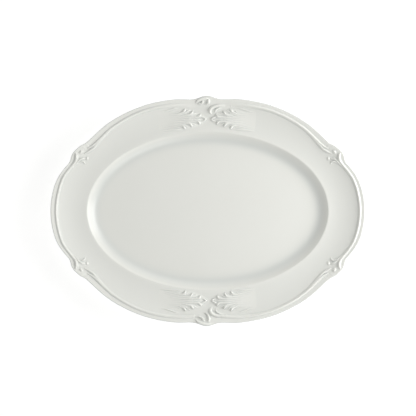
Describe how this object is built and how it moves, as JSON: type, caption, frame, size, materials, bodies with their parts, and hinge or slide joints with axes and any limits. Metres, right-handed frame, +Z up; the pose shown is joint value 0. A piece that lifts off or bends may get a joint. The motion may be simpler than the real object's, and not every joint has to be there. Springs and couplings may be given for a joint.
{
  "type": "oval serving platter",
  "caption": "Oval white porcelain serving platter with a sunk well, broad moulded rim, scrolled shoulders, crests and a foot ring.",
  "frame": {"origin": "middle of the plane that the foot stands on", "axes": "+X along the length, +Y across the width, +Z up out of the well"},
  "size_m": [0.41, 0.3004, 0.0303],
  "materials": {
    "glazed_porcelain": "clear gloss glaze over warm white porcelain, fired",
    "bare_porcelain": "unglazed, matt, wiped clean before firing"
  },
  "bodies": {
    "root": {"well": "glazed_porcelain", "marly": "glazed_porcelain", "foot_ring": "glazed_porcelain", "foot_bearing_band": "bare_porcelain", "edge_moulding_right": "glazed_porcelain", "edge_moulding_left": "glazed_porcelain", "edge_moulding_top_right": "glazed_porcelain", "edge_moulding_top_left": "glazed_porcelain", "edge_moulding_bottom_right": "glazed_porcelain", "edge_moulding_bottom_left": "glazed_porcelain", "crest_shell_top": "glazed_porcelain", "crest_shell_bottom": "glazed_porcelain", "crest_scroll_top": "glazed_porcelain", "crest_scroll_bottom": "glazed_porcelain", "feather_spray_top_right": "glazed_porcelain", "feather_spray_top_left": "glazed_porcelain", "feather_spray_bottom_right": "glazed_porcelain", "feather_spray_bottom_left": "glazed_porcelain", "shoulder_scroll_top_right": "glazed_porcelain", "shoulder_scroll_top_left": "glazed_porcelain", "shoulder_scroll_bottom_right": "glazed_porcelain", "shoulder_scroll_bottom_left": "glazed_porcelain"}
  },
  "joints": []
}
